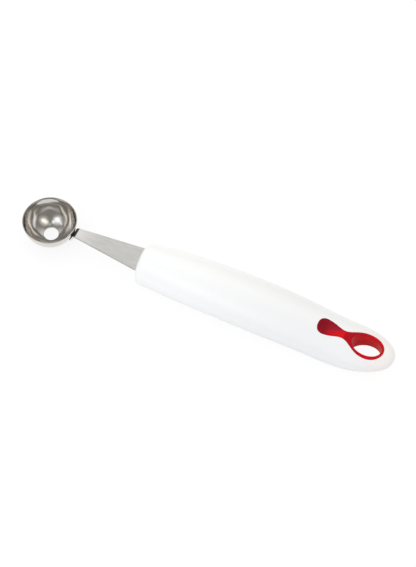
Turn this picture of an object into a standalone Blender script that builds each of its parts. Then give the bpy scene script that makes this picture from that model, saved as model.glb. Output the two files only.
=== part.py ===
"""Melon baller: a pressed steel bowl on a flat steel neck, a moulded white handle and its red hanging loop.

The object lies on its back as it would on a table, bowl open upwards. X runs from the bowl to the handle's
end, Z is up and the table is Z = 0. Distances along the object are counted from the bowl's axis, and one
empty then moves everything so that the origin is at the middle of the underside.
"""

import math

import bmesh
import bpy
import numpy as np

MM = 0.001

# Room left between pieces that touch.
CLEARANCE = 0.3 * MM

# Bowl: a pressed half ball with a drain hole in its bottom.
BOWL_RADIUS = 15.0 * MM
BOWL_WALL = 0.8 * MM
DRAIN_RADIUS = 4.1 * MM
BOWL_EDGE_BEVEL = 0.55 * MM
BOWL_SEGMENTS = 64
BOWL_ARC_STEPS = 11

# Neck: one stamped strip, welded under the bowl's rim, bent over and widened towards the handle.
STRIP_THICKNESS = 1.2 * MM
STRIP_BEVEL = 0.2 * MM
STRIP_END_SHARE = 0.35
TAB_WIDTH = 5.66 * MM
TAB_WRAP = 4.2 * MM
TAB_END_ROUND = 1.6 * MM
TAB_STEPS = 5
BEND_STANDOFF = 1.35 * MM
BEND_DROP = 2.81 * MM
BEND_RADIUS = 0.4 * MM
BEND_STEPS = 7
NECK_REACH = 38.2 * MM
NECK_FALL = math.radians(2.8)
NECK_STEPS = 8
MOUTH_WIDTH = 13.68 * MM

# Tang: the same strip inside the handle, with a hole that the plastic fills.
SHOULDER_DEPTH = 3.0 * MM
SHOULDER_RUN = 2.4 * MM
SHOULDER_STEPS = 4
TANG_WIDTH = 9.6 * MM
TANG_LENGTH = 56.0 * MM
TANG_END_ROUND = 3.2 * MM
TANG_STEPS = 5
TANG_HOLE_RADIUS = 2.4 * MM
TANG_HOLE_FROM_END = 9.0 * MM
TANG_HOLE_SEGMENTS = 24

# Handle: a loft of sections that are rounder on top than below. The stations are shares of its length, and
# the curves are shares of its width, its crown's height and the height of the arch in its underside.
# Where the belly's curve dips below the table the underside is cut flat, and the handle rests there.
HANDLE_LENGTH = 148.2 * MM
HANDLE_WIDTH = 31.0 * MM
HANDLE_CROWN = 21.6 * MM
HANDLE_ARCH = 2.7 * MM
HANDLE_STATIONS = (0.0, 0.17, 0.34, 0.51, 0.68, 0.80, 0.88, 1.0)
HANDLE_WIDTH_SHARES = (0.774, 0.916, 0.981, 1.0, 0.955, 0.916, 0.89, 0.845)
HANDLE_CROWN_SHARES = (0.931, 0.995, 1.0, 0.94, 0.815, 0.713, 0.634, 0.519)
HANDLE_BELLY_SHARES = (0.0, 0.7, 1.0, 0.963, 0.519, -0.093, 0.926, 2.407)
HANDLE_WIDEST_SHARE = 0.38
CROWN_POWER = 1.9
BELLY_POWER = 2.5
FRONT_RUN = 5.2 * MM
FRONT_POWER = 2.7
TIP_RUN = 25.2 * MM
TIP_POWER = 2.16
EDGE_RUN = 4.0 * MM
EDGE_POWER = 2.2
END_FLAT_SHARE = 0.12
HANDLE_AROUND = 44
HANDLE_BODY_STEP = 5.0 * MM
HANDLE_CAP_STEPS = 9

# Hanging loop: one red moulding, a deep hollow that climbs to a waist and a ring round the hanging hole.
# Its outline is given at shares of its length, as shares of its width.
LOOP_LENGTH = 37.5 * MM
LOOP_WIDTH = 14.6 * MM
LOOP_FROM_TIP = 6.3 * MM
WAIST_SHARE = 0.408
LOOP_STATIONS = (0.0, 0.123, 0.267, WAIST_SHARE, 0.549, 0.667, 0.763, 1.0)
LOOP_WIDTH_SHARES = (0.658, 0.651, 0.479, 0.336, 0.678, 0.952, 1.0, 1.0)
LOBE_RUN = 4.6 * MM
LOBE_POWER = 2.5
RING_RUN = 9.0 * MM
HOLLOW_DEPTH = 5.0 * MM
HOLLOW_FLOOR = 1.6 * MM
HOLLOW_START_RUN = 3.0 * MM
HOLLOW_POWER = 4.0
THROUGH_RUN = 1.6 * MM
HOLE_LENGTH = 16.8 * MM
HOLE_WIDTH = 11.2 * MM
RING_END_WALL = 1.4 * MM
HOLE_SEGMENTS = 48
LOOP_ACROSS = 12
LOOP_CAP_STEPS = 8
LOOP_BODY_STEP = 1.6 * MM

# How far a cutter reaches past what it cuts, and the angle past which an edge is shaded sharp.
CUT_PAST = 2.0 * MM
SHARP_ANGLE = math.radians(35)

# Places that follow from the sizes above.
RIM_HEIGHT = math.sqrt(BOWL_RADIUS**2 - DRAIN_RADIUS**2)
BEND_X = BOWL_RADIUS + BEND_STANDOFF
BEND_Z = RIM_HEIGHT - BEND_DROP
MOUTH_DISTANCE = NECK_REACH / math.cos(NECK_FALL)
SHOULDER_DISTANCE = MOUTH_DISTANCE + SHOULDER_DEPTH
TANG_END_DISTANCE = MOUTH_DISTANCE + TANG_LENGTH
HANDLE_FRONT = BEND_X + NECK_REACH
HANDLE_TIP = HANDLE_FRONT + HANDLE_LENGTH
LOOP_END = HANDLE_TIP - LOOP_FROM_TIP
LOOP_START = LOOP_END - LOOP_LENGTH
LOOP_WAIST = LOOP_START + WAIST_SHARE * LOOP_LENGTH
INLAY_DEPTH = HOLLOW_DEPTH + HOLLOW_FLOOR
HOLE_CENTRE = LOOP_END - RING_END_WALL - HOLE_LENGTH / 2
MIDDLE_X = (HANDLE_TIP - BOWL_RADIUS) / 2


# Curves


def fair_curve(stations, values):
    """Returns a function for the natural cubic spline through the given stations."""
    xs = np.asarray(stations, dtype=float)
    ys = np.asarray(values, dtype=float)
    gaps = np.diff(xs)
    rises = np.diff(ys) / gaps
    count = len(xs)
    system = np.eye(count)
    bends = np.zeros(count)
    for i in range(1, count - 1):
        system[i, i - 1 : i + 2] = gaps[i - 1], 2 * (gaps[i - 1] + gaps[i]), gaps[i]
        bends[i] = 6 * (rises[i] - rises[i - 1])
    curvature = np.linalg.solve(system, bends)

    def at(x):
        x = np.asarray(x, dtype=float)
        i = np.clip(np.searchsorted(xs, x) - 1, 0, count - 2)
        before = (xs[i + 1] - x) / gaps[i]
        after = (x - xs[i]) / gaps[i]
        straight = before * ys[i] + after * ys[i + 1]
        bow = (before**3 - before) * curvature[i] + (after**3 - after) * curvature[i + 1]
        return straight + bow * gaps[i] ** 2 / 6

    return at


def rounding(distance, run, power=2.0):
    """Share of full size at a distance from an end: a superellipse quarter that is full after the run."""
    inward = np.clip(1 - np.asarray(distance, dtype=float) / run, 0, 1)
    return (1 - inward**power) ** (1 / power)


def smooth_step(x):
    """Rises from 0 to 1 with level ends."""
    x = np.clip(x, 0, 1)
    return x * x * (3 - 2 * x)


def cap_stations(run, steps):
    """Distances from a rounded end, close together where the outline turns fastest."""
    return run * (1 - np.cos(np.linspace(0, math.pi / 2, steps + 1)))


def capped_stations(low, high, low_run, high_run, cap_steps, step):
    """Stations of a loft with two rounded ends and an even stretch between them."""
    front = low + cap_stations(low_run, cap_steps)
    back = high - cap_stations(high_run, cap_steps)[::-1]
    count = max(2, round((back[0] - front[-1]) / step))
    between = np.linspace(front[-1], back[0], count + 1)[1:-1]
    return np.concatenate([front, between, back])


# Objects and materials


def clear_scene():
    """Removes whatever the file held before."""
    for obj in list(bpy.data.objects):
        bpy.data.objects.remove(obj)


def make_material(name, colour, metallic, roughness):
    """A Principled material of one colour."""
    material = bpy.data.materials.new(name)
    material.use_nodes = True
    shader = material.node_tree.nodes["Principled BSDF"]
    shader.inputs["Base Color"].default_value = (*colour, 1.0)
    shader.inputs["Metallic"].default_value = metallic
    shader.inputs["Roughness"].default_value = roughness
    return material


def add_object(name, bm, parent, material=None):
    """Turns a bmesh into a smooth-shaded object under the parent."""
    bmesh.ops.recalc_face_normals(bm, faces=bm.faces)
    mesh = bpy.data.meshes.new(name)
    bm.to_mesh(mesh)
    bm.free()
    mesh.shade_smooth()
    mesh.set_sharp_from_angle(angle=SHARP_ANGLE)
    obj = bpy.data.objects.new(name, mesh)
    bpy.context.collection.objects.link(obj)
    obj.parent = parent
    if material:
        mesh.materials.append(material)
    return obj


def loft(sections):
    """Skins closed sections of equal point count and closes both ends with a face."""
    bm = bmesh.new()
    rings = [[bm.verts.new(point) for point in section] for section in sections]
    for ring, after in zip(rings, rings[1:]):
        for k in range(len(ring)):
            following = (k + 1) % len(ring)
            bm.faces.new((ring[k], ring[following], after[following], after[k]))
    bm.faces.new(rings[0])
    bm.faces.new(rings[-1])
    return bm


def cut(obj, cutter):
    """Subtracts a hidden cutter from an object."""
    cutter.hide_render = True
    cutter.display_type = "WIRE"
    modifier = obj.modifiers.new(cutter.name, "BOOLEAN")
    modifier.operation = "DIFFERENCE"
    modifier.solver = "EXACT"
    modifier.object = cutter


def upright_cylinder(centre_x, radius_x, radius_y, low, high, segments):
    """An upright elliptical cylinder, used as a cutter."""
    angles = np.arange(segments) * 2 * math.pi / segments
    outline_x = centre_x + radius_x * np.cos(angles)
    outline_y = radius_y * np.sin(angles)
    return loft([np.column_stack([outline_x, outline_y, np.full(segments, z)]) for z in (low, high)])


# Bowl


def point_on_arc(radius, angle_below_rim):
    """A point of the bowl's half section at an angle below the rim's level."""
    return radius * math.cos(angle_below_rim), RIM_HEIGHT - radius * math.sin(angle_below_rim)


def bowl_profile():
    """Half section of the bowl: up the outside from the drain hole, over the rim and down the inside.

    The inner arc stops short of the rim's level, so that the cutting edge is bevelled inside.
    """
    inner_radius = BOWL_RADIUS - BOWL_WALL
    arcs = []
    for radius, at_rim in ((BOWL_RADIUS, 0.0), (inner_radius, BOWL_EDGE_BEVEL / inner_radius)):
        at_drain = math.acos(DRAIN_RADIUS / radius)
        arcs.append([point_on_arc(radius, a) for a in np.linspace(at_drain, at_rim, BOWL_ARC_STEPS + 1)])
    outer, inner = arcs
    return outer + [(inner_radius + BOWL_EDGE_BEVEL, RIM_HEIGHT)] + inner[::-1]


def build_bowl(parent):
    """Turns the half section once round the bowl's axis."""
    bm = bmesh.new()
    points = [bm.verts.new((-radius, 0, height)) for radius, height in bowl_profile()]
    edges = [bm.edges.new(pair) for pair in zip(points, points[1:] + points[:1])]
    bmesh.ops.spin(
        bm,
        geom=points + edges,
        axis=(0, 0, 1),
        cent=(0, 0, 0),
        angle=2 * math.pi,
        steps=BOWL_SEGMENTS,
        use_merge=True,
    )
    finish = make_material("polished_steel", (0.62, 0.61, 0.59), metallic=1.0, roughness=0.12)
    return add_object("bowl", bm, parent, finish)


# Neck and tang


def tab_slope():
    """Angle below level at which the tab's face touches the bowl's outside."""
    face_distance = BOWL_RADIUS + CLEARANCE
    to_bend = math.hypot(BEND_X, BEND_DROP)
    return math.asin(face_distance / to_bend) - math.atan2(BEND_DROP, BEND_X)


def direction(angle):
    """Unit vector in the XZ plane at an angle above level, and its left-hand normal."""
    along = np.array([math.cos(angle), math.sin(angle)])
    return along, np.array([-along[1], along[0]])


def strip_path():
    """Middle line of the strip from the tab's end to the tang's end.

    Returns the places and upper normals in the XZ plane, each place's distance from the tab's end, and its
    distance past the bend. The tab hugs the bowl, runs straight up to the bend, and the bend is an arc.
    """
    slope = tab_slope()
    half = STRIP_THICKNESS / 2
    tab_along, tab_normal = direction(slope)
    neck_along, neck_normal = direction(-NECK_FALL)
    bowl_centre = np.array([0.0, RIM_HEIGHT])
    hug_radius = BOWL_RADIUS + CLEARANCE + half
    turn = slope + NECK_FALL
    bend_middle = BEND_RADIUS + half
    trim = bend_middle * math.tan(turn / 2)

    # The corner of the middle lines lies below the corner of the upper faces.
    corner = np.array([BEND_X, BEND_Z]) - half * (tab_normal + neck_normal) / (1 + math.cos(turn))
    bend_start = corner - trim * tab_along
    bend_end = corner + trim * neck_along
    bend_centre = bend_start - bend_middle * tab_normal

    places = []
    normals = []
    for angle in np.linspace(TAB_WRAP / hug_radius, 0, TAB_STEPS + 1):
        normal = direction(slope - angle)[1]
        places.append(bowl_centre - hug_radius * normal)
        normals.append(normal)
    for angle in np.linspace(0, turn, BEND_STEPS + 1):
        normal = direction(slope - angle)[1]
        places.append(bend_centre + bend_middle * normal)
        normals.append(normal)
    bend_count = len(places)
    for distance in neck_stations(trim):
        places.append(bend_end + (distance - trim) * neck_along)
        normals.append(neck_normal)
    steps = np.linalg.norm(np.diff(places, axis=0), axis=1)
    along = np.concatenate([[0], np.cumsum(steps)])
    past_bend = along - along[bend_count - 1] + trim
    return np.array(places), np.array(normals), along, past_bend


def neck_stations(start):
    """Distances past the bend at which the neck and the tang have a section."""
    neck = np.linspace(start, SHOULDER_DISTANCE, NECK_STEPS + 1)[1:]
    slimming = np.linspace(SHOULDER_DISTANCE, SHOULDER_DISTANCE + SHOULDER_RUN, SHOULDER_STEPS + 1)[1:]
    end = TANG_END_DISTANCE - cap_stations(TANG_END_ROUND, TANG_STEPS)[::-1]
    plain = np.linspace(slimming[-1], end[0], TANG_STEPS)[1:-1]
    return np.concatenate([neck, slimming, plain, end])


def strip_half_width(along, past_bend):
    """Half the strip's width: widening up to the shoulder, then slimmer, with rounded ends."""
    widening = (MOUTH_WIDTH - TAB_WIDTH) / 2 / MOUTH_DISTANCE
    neck = TAB_WIDTH / 2 + widening * np.clip(past_bend, 0, SHOULDER_DISTANCE)
    slim = smooth_step((past_bend - SHOULDER_DISTANCE) / SHOULDER_RUN)
    width = neck * (1 - slim) + TANG_WIDTH / 2 * slim
    tab_end = rounding(along, TAB_END_ROUND)
    tang_end = rounding(TANG_END_DISTANCE - past_bend, TANG_END_ROUND)
    return width * np.clip(tab_end * tang_end, STRIP_END_SHARE, 1)


def strip_sections(grow):
    """Sections of the strip, each a bevelled rectangle, made larger all round by grow."""
    places, normals, along, past_bend = strip_path()
    half_widths = strip_half_width(along, past_bend) + grow
    half = STRIP_THICKNESS / 2 + grow
    sections = []
    for place, normal, wide in zip(places, normals, half_widths):
        left = [(wide - STRIP_BEVEL, -half), (wide, STRIP_BEVEL - half), (wide, half - STRIP_BEVEL)]
        left.append((wide - STRIP_BEVEL, half))
        outline = left + [(-y, h) for y, h in reversed(left)]
        sections.append([(place[0] + h * normal[0], y, place[1] + h * normal[1]) for y, h in outline])
    return sections


def tang_pin(name, radius, parent):
    """An upright pin at the place of the tang's hole."""
    distance = TANG_END_DISTANCE - TANG_HOLE_FROM_END
    centre_x = BEND_X + distance * math.cos(NECK_FALL)
    centre_z = BEND_Z - distance * math.sin(NECK_FALL)
    low = centre_z - STRIP_THICKNESS - CUT_PAST
    high = centre_z + CUT_PAST
    pin = upright_cylinder(centre_x, radius, radius, low, high, TANG_HOLE_SEGMENTS)
    return add_object(name, pin, parent)


def build_neck(parent):
    """Lofts the bent strip and pierces its tang."""
    finish = make_material("satin_steel", (0.60, 0.60, 0.59), metallic=1.0, roughness=0.34)
    neck = add_object("neck", loft(strip_sections(grow=0.0)), parent, finish)
    cut(neck, tang_pin("tang_hole_cutter", TANG_HOLE_RADIUS, parent))
    return neck


# Handle


def handle_curves(x):
    """Half width, widest line's height, crown height and belly height at places along the handle."""
    from_front = np.asarray(x, dtype=float) - HANDLE_FRONT
    from_tip = HANDLE_LENGTH - from_front
    share = from_front / HANDLE_LENGTH
    width = HANDLE_WIDTH / 2 * fair_curve(HANDLE_STATIONS, HANDLE_WIDTH_SHARES)(share)
    crown = HANDLE_CROWN * fair_curve(HANDLE_STATIONS, HANDLE_CROWN_SHARES)(share)
    belly = HANDLE_ARCH * fair_curve(HANDLE_STATIONS, HANDLE_BELLY_SHARES)(share)
    plan = rounding(from_front, FRONT_RUN, FRONT_POWER) * rounding(from_tip, TIP_RUN, TIP_POWER)
    side = rounding(from_front, EDGE_RUN, EDGE_POWER) * rounding(from_tip, EDGE_RUN, EDGE_POWER)
    plan = np.clip(plan, END_FLAT_SHARE, 1)
    side = np.clip(side, END_FLAT_SHARE, 1)
    middle = belly + (crown - belly) * HANDLE_WIDEST_SHARE
    return width * plan, middle, middle + (crown - middle) * side, middle - (middle - belly) * side


def upper_height(x, y):
    """Height of the handle's upper skin over a place."""
    width, middle, crown, _ = handle_curves(x)
    share = np.clip(np.abs(y) / width, 0, 1)
    return middle + (crown - middle) * (1 - share**CROWN_POWER) ** (1 / CROWN_POWER)


def lower_height(x, y):
    """Height of the handle's underside over a place, flat where it rests."""
    width, middle, _, belly = handle_curves(x)
    share = np.clip(np.abs(y) / width, 0, 1)
    height = middle - (middle - belly) * (1 - share**BELLY_POWER) ** (1 / BELLY_POWER)
    return np.maximum(height, 0)


def handle_section(x):
    """One closed section of the handle: two superellipse halves, cut flat where they reach the table."""
    width, middle, crown, belly = (float(v) for v in handle_curves(x))
    angles = (np.arange(HANDLE_AROUND) + 0.5) * 2 * math.pi / HANDLE_AROUND
    sine = np.sin(angles)
    cosine = np.cos(angles)
    upper = sine > 0
    power = np.where(upper, CROWN_POWER, BELLY_POWER)
    reach = np.where(upper, crown - middle, middle - belly)
    y = width * np.sign(cosine) * np.abs(cosine) ** (2 / power)
    z = middle + reach * np.sign(sine) * np.abs(sine) ** (2 / power)
    return np.column_stack([np.full(HANDLE_AROUND, x), y, np.maximum(z, 0)])


def build_handle(parent):
    """Lofts the handle and cuts the tang's slot and the loop's bed into it.

    The slot leaves a pin of plastic standing, which fills the tang's hole.
    """
    stations = capped_stations(
        HANDLE_FRONT, HANDLE_TIP, FRONT_RUN, TIP_RUN, HANDLE_CAP_STEPS, HANDLE_BODY_STEP
    )
    finish = make_material("white_plastic", (0.9, 0.9, 0.89), metallic=0.0, roughness=0.2)
    handle = add_object("handle", loft([handle_section(x) for x in stations]), parent, finish)
    slot = add_object("tang_slot_cutter", loft(strip_sections(grow=CLEARANCE)), parent)
    cut(slot, tang_pin("plastic_pin_cutter", TANG_HOLE_RADIUS - CLEARANCE, parent))
    cut(handle, slot)
    cut(handle, add_object("loop_bed_cutter", loft(bed_sections()), parent))
    return handle


# Hanging loop


def loop_half_width(x):
    """Half the loop's width at a place along the handle: a lobe, a waist and a ring."""
    from_start = x - LOOP_START
    width = LOOP_WIDTH / 2 * fair_curve(LOOP_STATIONS, LOOP_WIDTH_SHARES)(from_start / LOOP_LENGTH)
    lobe = rounding(from_start, LOBE_RUN, LOBE_POWER)
    ring = rounding(LOOP_LENGTH - from_start, RING_RUN)
    return width * np.clip(lobe * ring, END_FLAT_SHARE, 1)


def loop_stations():
    """Places along the handle of the loop's sections."""
    return capped_stations(LOOP_START, LOOP_END, LOBE_RUN, RING_RUN, LOOP_CAP_STEPS, LOOP_BODY_STEP)


def through_share(x):
    """0 where the loop is a shallow inlay, and 1 from behind its waist, where it goes right through."""
    return smooth_step((x - LOOP_WAIST) / THROUGH_RUN)


def hollow(x, y, half_width):
    """Depth of the hollow: steep sides, deepest near its round end, and a ramp up to the waist."""
    steep_end = LOOP_START + HOLLOW_START_RUN
    rise = rounding(x - LOOP_START, HOLLOW_START_RUN)
    ramp = np.clip((LOOP_WAIST - x) / (LOOP_WAIST - steep_end), 0, 1)
    return HOLLOW_DEPTH * rise * ramp * (1 - np.abs(y / half_width) ** HOLLOW_POWER)


def loop_sections():
    """Sections of the loop between the handle's upper skin and its floor or the handle's underside."""
    shares = np.sin(np.linspace(-math.pi / 2, math.pi / 2, LOOP_ACROSS + 1))
    sections = []
    for x in loop_stations():
        half_width = float(loop_half_width(x))
        y = half_width * shares
        top = upper_height(x, y) - hollow(x, y, half_width)
        inlay = upper_height(x, 0.0) - INLAY_DEPTH
        floor = inlay + (lower_height(x, y) - inlay) * through_share(x)
        upper = np.column_stack([np.full(len(y), x), y, top])
        lower = np.column_stack([np.full(len(y), x), y, floor])
        sections.append(np.vstack([upper, lower[::-1]]))
    return sections


def bed_sections():
    """Sections of the cutter for the loop's bed: larger by the clearance, and open above and below."""
    middle = (LOOP_START + LOOP_END) / 2
    sections = []
    for x in loop_stations():
        wide = float(loop_half_width(x)) + CLEARANCE
        outward = float(np.clip((x - middle) / LOBE_RUN, -1, 1))
        moved = x + CLEARANCE * outward
        crown = float(upper_height(moved, 0.0))
        inlay = crown - INLAY_DEPTH - CLEARANCE
        floor = inlay + (-CUT_PAST - inlay) * float(through_share(moved + CLEARANCE))
        lid = crown + CUT_PAST
        corners = ((-wide, lid), (wide, lid), (wide, floor), (-wide, floor))
        sections.append([(moved, y, z) for y, z in corners])
    return sections


def build_loop(parent):
    """Lofts the loop and cuts the hanging hole through its ring."""
    finish = make_material("red_plastic", (0.55, 0.012, 0.02), metallic=0.0, roughness=0.22)
    loop = add_object("hanging_loop", loft(loop_sections()), parent, finish)
    top = float(upper_height(HOLE_CENTRE - HOLE_LENGTH / 2, 0.0)) + CUT_PAST
    hole = upright_cylinder(HOLE_CENTRE, HOLE_LENGTH / 2, HOLE_WIDTH / 2, -CUT_PAST, top, HOLE_SEGMENTS)
    cut(loop, add_object("hanging_hole_cutter", hole, parent))
    return loop


def build_melon_baller():
    """Builds every piece under one empty that centres the object over the origin."""
    clear_scene()
    root = bpy.data.objects.new("melon_baller", None)
    bpy.context.collection.objects.link(root)
    root.location.x = -MIDDLE_X
    build_bowl(root)
    build_neck(root)
    build_handle(root)
    build_loop(root)


build_melon_baller()
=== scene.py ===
"""Looks of a melon baller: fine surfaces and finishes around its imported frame, and a white studio.

X runs from the bowl to the handle's end, Z is up, and the tool lies on Z = 0 with its bowl open upwards.
Every piece is a set of patches: grids of points over two parameters, worked out as whole arrays.
"""

import math

import bmesh
import bpy
import numpy as np
from bpy.props import FloatProperty, FloatVectorProperty, PointerProperty
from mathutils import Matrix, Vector


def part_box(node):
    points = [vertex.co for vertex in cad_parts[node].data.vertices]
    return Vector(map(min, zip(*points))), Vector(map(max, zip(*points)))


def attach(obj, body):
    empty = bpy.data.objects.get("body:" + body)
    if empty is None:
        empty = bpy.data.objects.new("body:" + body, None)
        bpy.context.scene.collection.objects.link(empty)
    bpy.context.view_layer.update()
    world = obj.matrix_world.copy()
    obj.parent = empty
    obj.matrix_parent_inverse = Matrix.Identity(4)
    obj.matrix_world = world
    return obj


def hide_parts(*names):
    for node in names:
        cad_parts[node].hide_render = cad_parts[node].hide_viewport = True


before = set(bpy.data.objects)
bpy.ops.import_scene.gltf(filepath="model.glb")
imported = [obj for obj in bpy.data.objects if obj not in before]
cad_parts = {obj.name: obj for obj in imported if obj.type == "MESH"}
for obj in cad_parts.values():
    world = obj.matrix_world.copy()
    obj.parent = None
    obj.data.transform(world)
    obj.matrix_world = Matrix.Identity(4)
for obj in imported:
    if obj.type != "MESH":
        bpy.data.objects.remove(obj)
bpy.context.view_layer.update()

bl_info = {
    "name": "Melon baller",
    "version": (1, 0, 0),
    "blender": (4, 5, 0),
    "location": "View3D > Sidebar > Melon baller",
    "description": "Builds a melon baller's surfaces, finishes and studio around its packed frame",
    "category": "Add Mesh",
}

MM = 0.001
BOWL_LOW, BOWL_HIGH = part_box("bowl")
HANDLE_LOW, HANDLE_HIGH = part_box("handle")
LOOP_LOW, LOOP_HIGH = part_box("hanging_loop")
BOWL_X = (BOWL_LOW.x + BOWL_HIGH.x) / 2

# Curves of the handle and the loop: places as shares of their length, values as shares of one size.
HANDLE_STATIONS = (0.0, 0.17, 0.34, 0.51, 0.68, 0.80, 0.88, 1.0)
WIDTH_SHARES = (0.774, 0.916, 0.981, 1.0, 0.955, 0.916, 0.89, 0.845)
CROWN_SHARES = (0.931, 0.995, 1.0, 0.94, 0.815, 0.713, 0.634, 0.519)
BELLY_SHARES = (0.0, 0.7, 1.0, 0.963, 0.519, -0.093, 0.926, 2.407)
LOOP_STATIONS = (0.0, 0.123, 0.267, 0.408, 0.549, 0.667, 0.763, 1.0)
LOOP_WIDTH_SHARES = (0.658, 0.651, 0.479, 0.336, 0.678, 0.952, 1.0, 1.0)

# The loop's waist is at its narrowest station.
WAIST_SHARE = LOOP_STATIONS[LOOP_WIDTH_SHARES.index(min(LOOP_WIDTH_SHARES))]

# Share of a flat face between its last columns, next to the edge's round.
FLAT_SHARE = 0.97

# Points closer than this are one point, and edges bent by more than this angle look sharp.
WELD = 2e-6
SHARP_ANGLE = math.radians(38)

# Columns of the patches.
SKIN_COLUMNS = 46
WALL_COLUMNS = 6
ROUND_COLUMNS = 7
LAND_COLUMNS = 16
LOBE_COLUMNS = 22
MIDDLE_COLUMNS = 14
FLAT_COLUMNS = 8

# Rows of the bowl's arcs and turn, the neck's stretches, the handle's stretches, and the loop's halves.
BOWL_ARC_ROWS = 90
BOWL_TURN_ROWS = 257
HUG_ROWS = 30
BEND_ROWS = 24
STRIP_ROWS = 60
SHOULDER_ROWS = 14
TANG_ROWS = 30
TANG_END_ROWS = 16
FRONT_ROWS = 28
BODY_ROWS = 110
TIP_ROWS = 34
LOBE_ROWS = 70
RING_ROWS = 90

# The steel's grain, in blotches per metre along X, Y and Z, and the depth of fine bumps.
GRAIN_SCALES = (40.0, 2600.0, 2600.0)
FINE_DEPTH = 0.02 * MM

# Range that holds most of a noise's values.
NOISE_MIDDLE = (0.3, 0.7)

# Colours of the room.
WHITE = Vector((1.0, 1.0, 1.0))
WARM = Vector((1.0, 0.96, 0.9))
COOL = Vector((0.96, 0.975, 1.01))
FRONT_TINT = Vector((0.92, 0.96, 1.10))
BACK_TINT = Vector((1.0, 1.005, 0.95))
DIM_LOW = (0.24, 0.23, 0.215)
DIM_HIGH = (0.27, 0.26, 0.245)

# Directions from the tool, in degrees round Z and above level: the soft lamp, and the back of the room.
LAMP_TOWARD = (-119.0, 41.0)
BACK_TOWARD = (115.0, 45.0)

# Room under the tool, the place that the camera looks at, and how far it sees.
FLOOR_DROP = 0.3 * MM
CAMERA_AIM = Vector((0.4, 1.6, 10.0)) * MM
CAMERA_REACH = 20.0


# Sizes and colours that a user would change


def length(name, description, millimetres):
    """A length property, kept in metres and shown in the scene's unit."""
    settings = {"default": millimetres * MM, "precision": 5, "subtype": "DISTANCE", "unit": "LENGTH"}
    return FloatProperty(name=name, description=description, **settings)


def turn(name, description, degrees):
    """An angle property."""
    return FloatProperty(name=name, description=description, default=math.radians(degrees), subtype="ANGLE")


def number(name, description, default, most=1.0):
    """A plain number from 0 up."""
    return FloatProperty(name=name, description=description, default=default, min=0.0, max=most)


def colour(name, description, default):
    """A colour property."""
    return FloatVectorProperty(
        name=name, description=description, default=default, size=3, min=0.0, max=1.0, subtype="COLOR"
    )


class BowlSizes(bpy.types.PropertyGroup):
    """Sizes and finish of the steel bowl."""

    radius: length("Radius", "Outside radius of the half ball", (BOWL_HIGH.x - BOWL_LOW.x) / 2 / MM)
    wall: length("Wall", "Thickness of the pressed sheet", 0.8)
    edge_bevel: length("Edge bevel", "Width and depth of the bevel that sharpens the rim inside", 0.55)
    rim_round: length("Rim round", "Radius of the rim's outer corner", 0.22)
    drain_radius: length("Drain radius", "Radius of the hole in the bottom", 4.1)
    drain_round: length("Drain round", "Radius of the hole's inner corner", 0.3)
    steel: colour("Steel", "Colour of the polished steel", (0.72, 0.70, 0.67))
    roughness: number("Roughness", "Roughness of the polished steel", 0.12)


class NeckSizes(bpy.types.PropertyGroup):
    """Sizes and finish of the neck's strip."""

    thickness: length("Thickness", "Thickness of the strip", 1.2)
    edge_round: length("Edge round", "Radius of the strip's edges", 0.22)
    tab_width: length("Tab width", "Width of the tab under the bowl", 5.9)
    tab_wrap: length("Tab wrap", "How far the tab hugs the bowl", 4.2)
    tab_gap: length("Tab gap", "Room between the tab and the bowl", 0.05)
    tab_end_round: length("Tab end round", "Radius of the tab's end", 1.6)
    standoff: length("Standoff", "From the bowl's side to the bend", 0.4)
    drop: length("Drop", "From the rim's level to the bend", 1.9)
    bend_radius: length("Bend radius", "Inner radius of the bend", 0.6)
    fall: turn("Fall", "How far the neck leans down", 2.45)
    mouth_width: length("Mouth width", "Width where the neck enters the handle", 14.66)
    shoulder_depth: length("Shoulder depth", "From the handle's front to the shoulder", 3.0)
    shoulder_run: length("Shoulder run", "Length of the shoulder", 2.4)
    tang_width: length("Tang width", "Width of the tang inside the handle", 9.6)
    tang_length: length("Tang length", "Length of the tang inside the handle", 56.0)
    tang_end_round: length("Tang end round", "Radius of the tang's end", 3.2)
    steel: colour("Steel", "Colour of the satin steel", (0.655, 0.652, 0.617))
    # The bright steel next to the bend and on the tab's edges is a painted highlight.
    highlight_steel: colour("Bright steel", "Colour of the satin steel next to the bend", (0.90, 0.885, 0.85))
    edge_steel: colour("Edge steel", "Colour of the sheared edges", (0.5, 0.49, 0.46))
    # The dark tint is heat tint at the weld and painted shade of the gap between the tab and the bowl.
    weld_tint_and_shade: colour("Heat tint", "Colour of the steel that the weld has burnt", (0.055, 0.048, 0.04))
    tint_and_shade_reach: length("Heat reach", "How far the burnt steel reaches past the bend", 1.4)
    roughness: number("Roughness", "Roughness of the satin steel", 0.34)


class HandleSizes(bpy.types.PropertyGroup):
    """Sizes and finish of the handle."""

    width: length("Width", "Greatest width", 31.0)
    crown: length("Crown", "Greatest height of the top", 21.6)
    arch: length("Arch", "Height of the underside's arch", 2.7)
    widest_share: number("Widest share", "Height of the widest line as a share of the section", 0.38)
    crown_power: number("Crown power", "Fullness of the sections' upper half", 1.9, 8.0)
    belly_power: number("Belly power", "Fullness of the sections' lower half", 2.5, 8.0)
    front_run: length("Front run", "Length of the front's rounding", 5.2)
    front_power: number("Front power", "Fullness of the front's rounding", 2.7, 8.0)
    tip_run: length("Tip run", "Length of the tip's rounding", 25.2)
    tip_power: number("Tip power", "Fullness of the tip's rounding", 2.16, 8.0)
    edge_run: length("Edge run", "Length of the rounding in side view", 4.0)
    edge_power: number("Edge power", "Fullness of the rounding in side view", 2.2, 8.0)
    seam_round: length("Seam round", "Radius of the edge round the loop", 0.22)
    # The rear and tip colours are darker, and the tip's is warmer: painted shade on the one white plastic.
    plastic: colour("Plastic", "Colour of the white plastic at the front", (0.94, 0.94, 0.935))
    shaded_rear_plastic: colour("Rear plastic", "Colour of the white plastic round the loop", (0.86, 0.855, 0.86))
    shaded_tip_plastic: colour("Tip plastic", "Colour of the white plastic at the tip", (0.87, 0.82, 0.80))
    roughness: number("Roughness", "Roughness of the white plastic", 0.3)


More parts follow.
